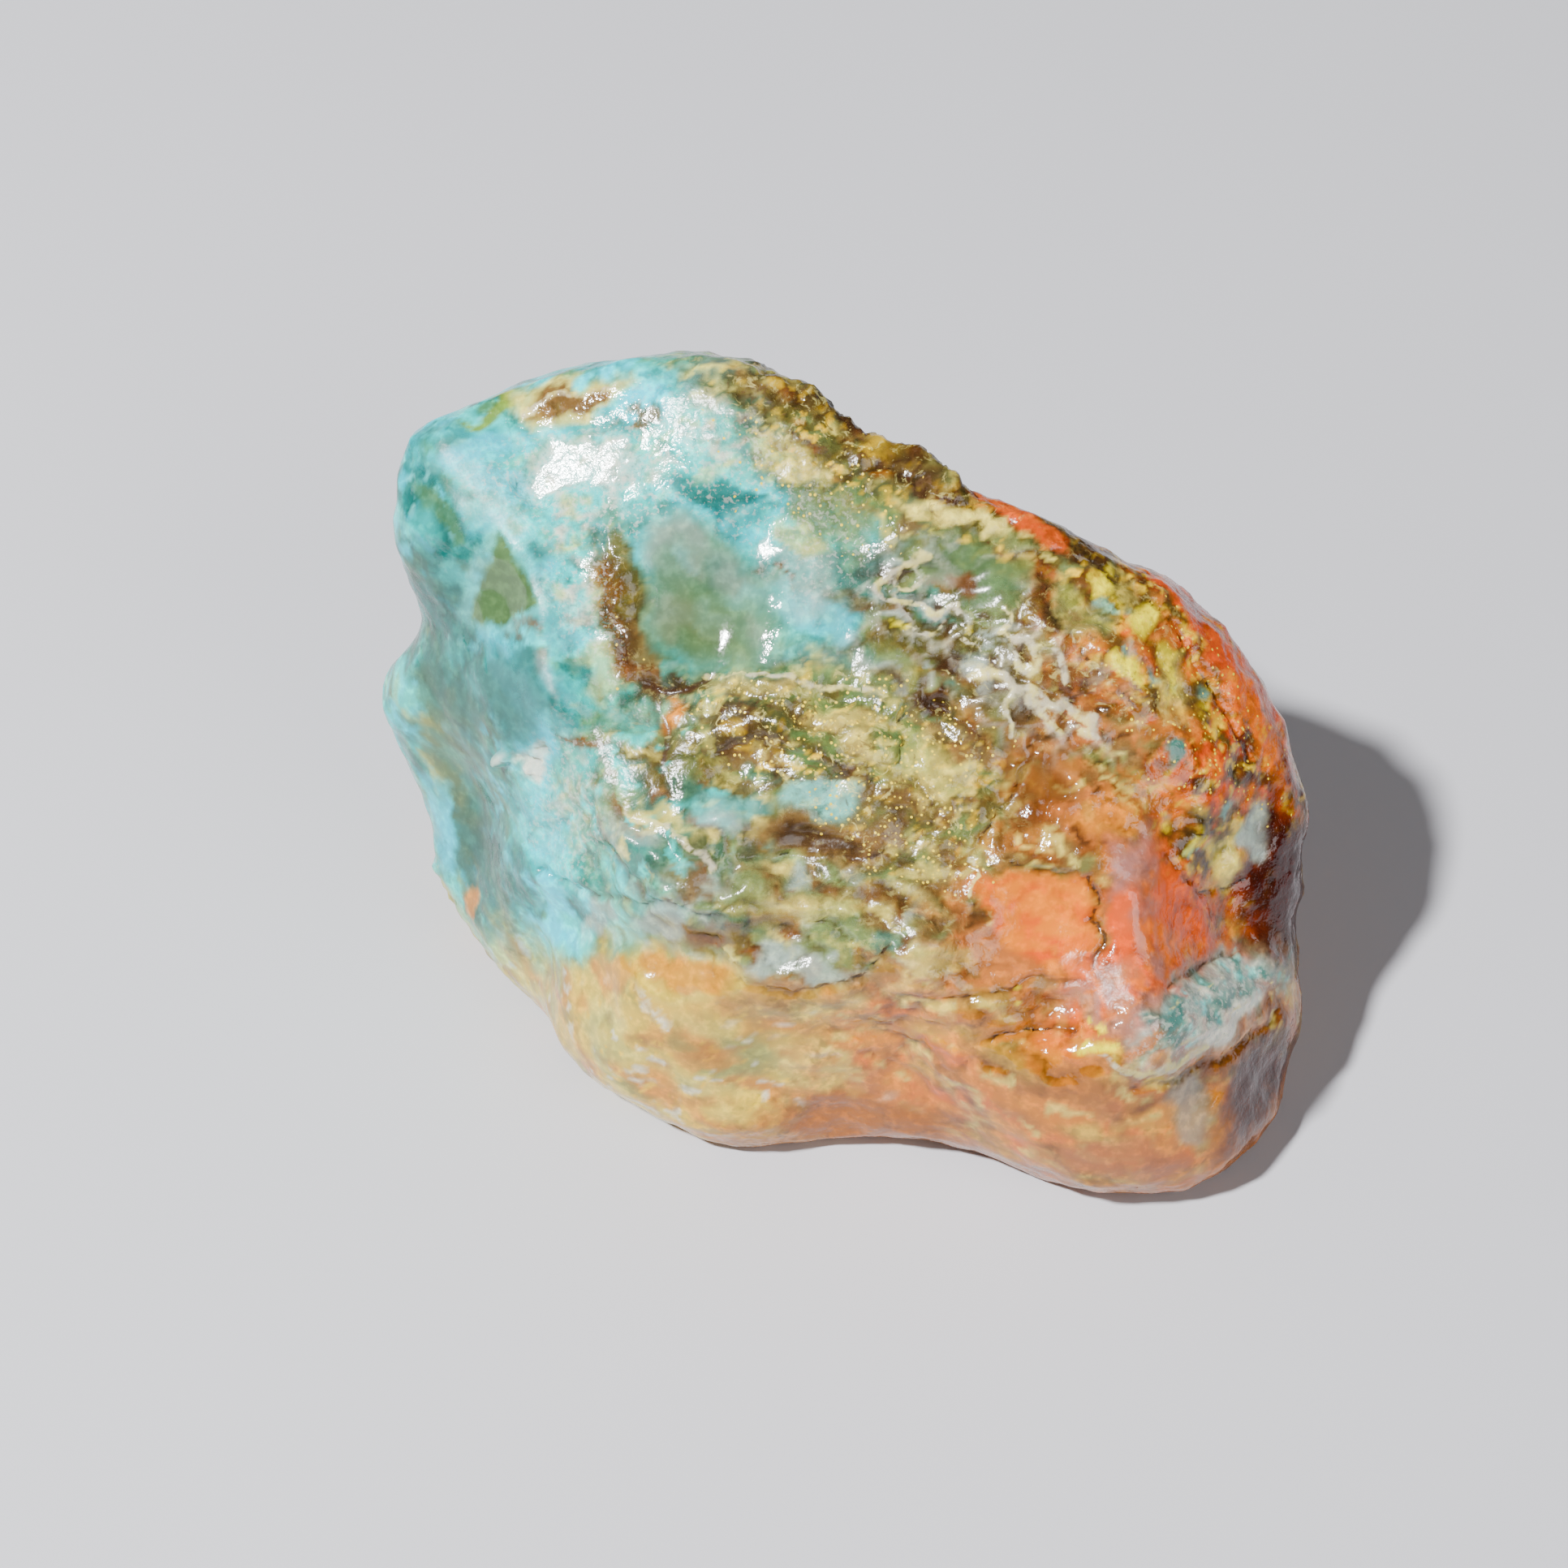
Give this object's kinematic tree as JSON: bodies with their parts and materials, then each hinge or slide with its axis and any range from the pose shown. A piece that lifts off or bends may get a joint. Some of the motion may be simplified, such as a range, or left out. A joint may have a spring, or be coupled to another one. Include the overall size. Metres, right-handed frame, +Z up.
{
  "type": "rough amber",
  "caption": "Natural nugget of rough blue-green and orange amber, a blunt wedge with a broad leaning face, resting on a flat facet.",
  "frame": {"origin": "on the ground under the middle of the stone's box", "axes": "+Z up from the flat facet it rests on, +X along the stone's length to the orange end, -Y towards the steep front wall under the broad face"},
  "size_m": [0.03, 0.0226, 0.0196],
  "materials": {
    "amber": "natural resin, see-through below a mottled skin: glassy teal at the left, olive and brown crust across the middle, orange at the right, waxy gloss"
  },
  "bodies": {
    "root": {"amber": "amber"}
  },
  "joints": []
}
